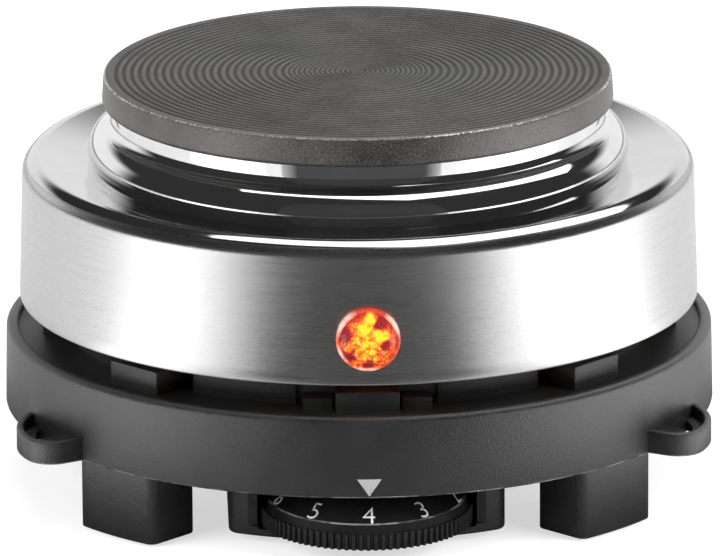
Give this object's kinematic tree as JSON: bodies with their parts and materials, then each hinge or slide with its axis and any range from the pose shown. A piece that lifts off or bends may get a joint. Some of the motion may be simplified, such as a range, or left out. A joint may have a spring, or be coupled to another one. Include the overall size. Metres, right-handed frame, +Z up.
{
  "type": "hot plate burner",
  "caption": "Small round electric hot plate: ribbed cast-iron plate on a chromed ring and steel housing, dark plastic base with legs, lamp and a front thumbwheel for the heat.",
  "frame": {"origin": "on the table, under the centre of the base ring", "axes": "+Z up through the plate, -Y towards the lamp and the dial, +X to the right seen from the front"},
  "size_m": [0.14, 0.1398, 0.08],
  "materials": {
    "cast_iron": "dark, turned in fine rings, dull",
    "chrome": "bright plated",
    "steel_shell": "polished top, skirt brushed round",
    "plastic_dark": "fine moulded grain",
    "plastic_dial": "satin moulded, pale printed numbers",
    "lens_amber": "faceted, clear orange-red",
    "rubber": "dull",
    "steel_parts": "zinc plated",
    "aluminium": "plain sheet",
    "brass": "plain",
    "ceramic": "unglazed ceramic",
    "lamp_glass": "clear bulb",
    "wire_sleeve": "glass-fibre sleeve",
    "wire_earth_sleeve": "green and yellow sleeve"
  },
  "bodies": {
    "body": {"hot_plate": "cast_iron", "spill_ring": "chrome", "housing_shell": "steel_shell", "base_tray": "plastic_dark", "dial_shroud": "plastic_dark", "bottom_cover": "plastic_dark", "indicator_lens": "lens_amber", "foot_pads": "rubber", "cord_gland": "rubber", "heating_element": "steel_parts", "element_cover": "steel_parts", "mounting_bridge": "steel_parts", "centre_stud": "steel_parts", "stud_washer": "steel_parts", "stud_nut": "steel_parts", "housing_screws": "steel_parts", "tab_nuts": "steel_parts", "cover_screws": "steel_parts", "shroud_screws": "steel_parts", "thermostat_plate": "steel_parts", "lamp_clip": "steel_parts", "fuse_clip": "steel_parts", "earth_screw": "steel_parts", "terminal_screws": "steel_parts", "heat_shield": "aluminium", "thermal_fuse": "aluminium", "thermostat_bush": "brass", "thermostat_nut": "brass", "contact_arm": "brass", "bimetal_strip": "brass", "stack_rivet": "brass", "thermostat_body": "ceramic", "stack_spacer": "ceramic", "insulating_washers": "ceramic", "terminal_block": "ceramic", "neon_lamp": "lamp_glass", "wire_line": "wire_sleeve", "wire_fused": "wire_sleeve", "wire_switched": "wire_sleeve", "wire_neutral": "wire_sleeve", "wire_lamp": "wire_sleeve", "wire_earth": "wire_earth_sleeve"},
    "dial": {"dial_wheel": "plastic_dial", "dial_spindle": "steel_parts"}
  },
  "joints": [
    {"name": "dial_turn", "type": "hinge", "parent": "body", "child": "dial", "pos_m": [0, -0.049, 0.0075], "axis": [0, 0, 1], "range_deg": [-144, 72]}
  ]
}
